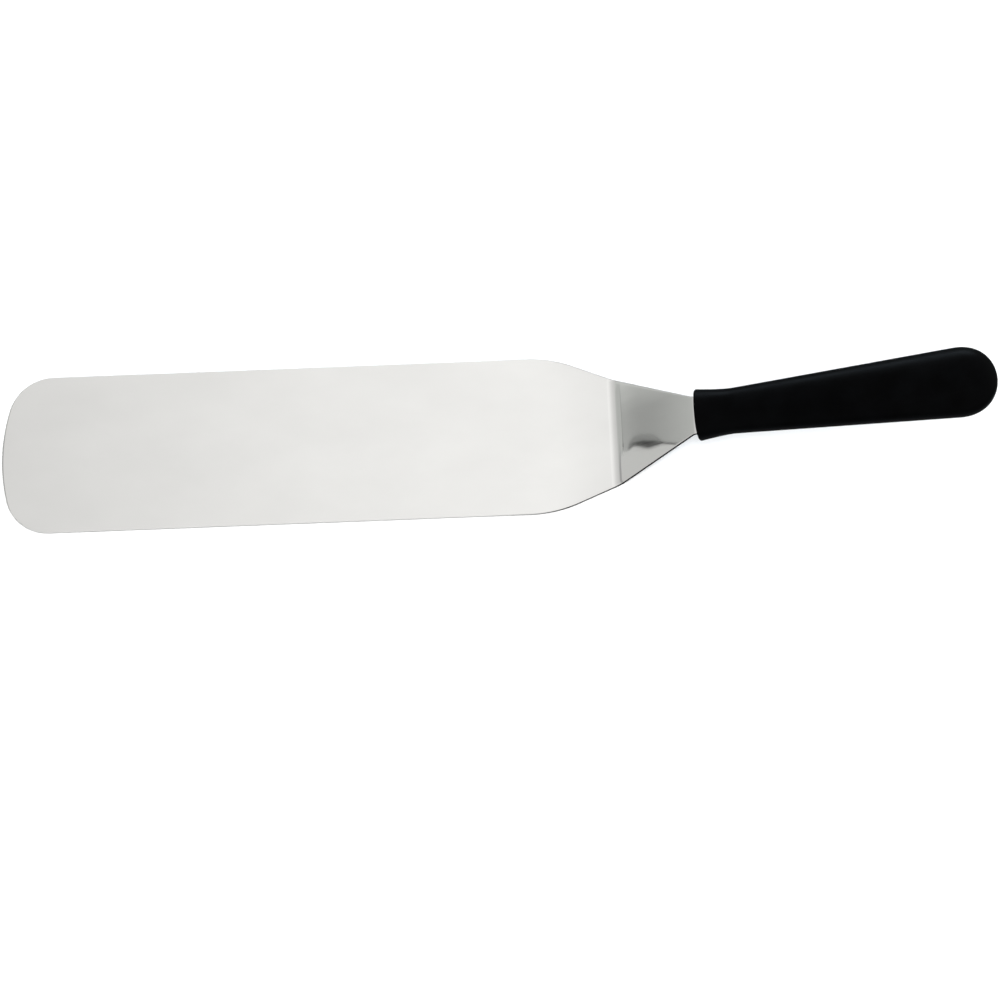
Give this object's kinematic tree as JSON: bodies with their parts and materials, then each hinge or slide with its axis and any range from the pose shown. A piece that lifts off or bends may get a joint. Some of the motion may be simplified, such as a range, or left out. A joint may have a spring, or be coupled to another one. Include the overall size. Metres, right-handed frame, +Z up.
{
  "type": "offset spatula",
  "caption": "Wide offset spatula: a flat steel blade with a rounded tip, a cranked tapering neck and a flared, round-ended black plastic handle.",
  "frame": {"origin": "middle of the blade's flat underside, halfway between the tip and the crank's bend line, where the spatula rests", "axes": "+X along the object from the blade's tip towards the handle, +Y across the blade, +Z up from the resting face towards the raised handle"},
  "size_m": [0.4733, 0.08, 0.0647],
  "materials": {
    "steel": "satin, fine lengthwise polishing grain",
    "plastic": "black moulded polypropylene, fine satin grain"
  },
  "bodies": {
    "root": {"blade": "steel", "handle": "plastic"}
  },
  "joints": []
}
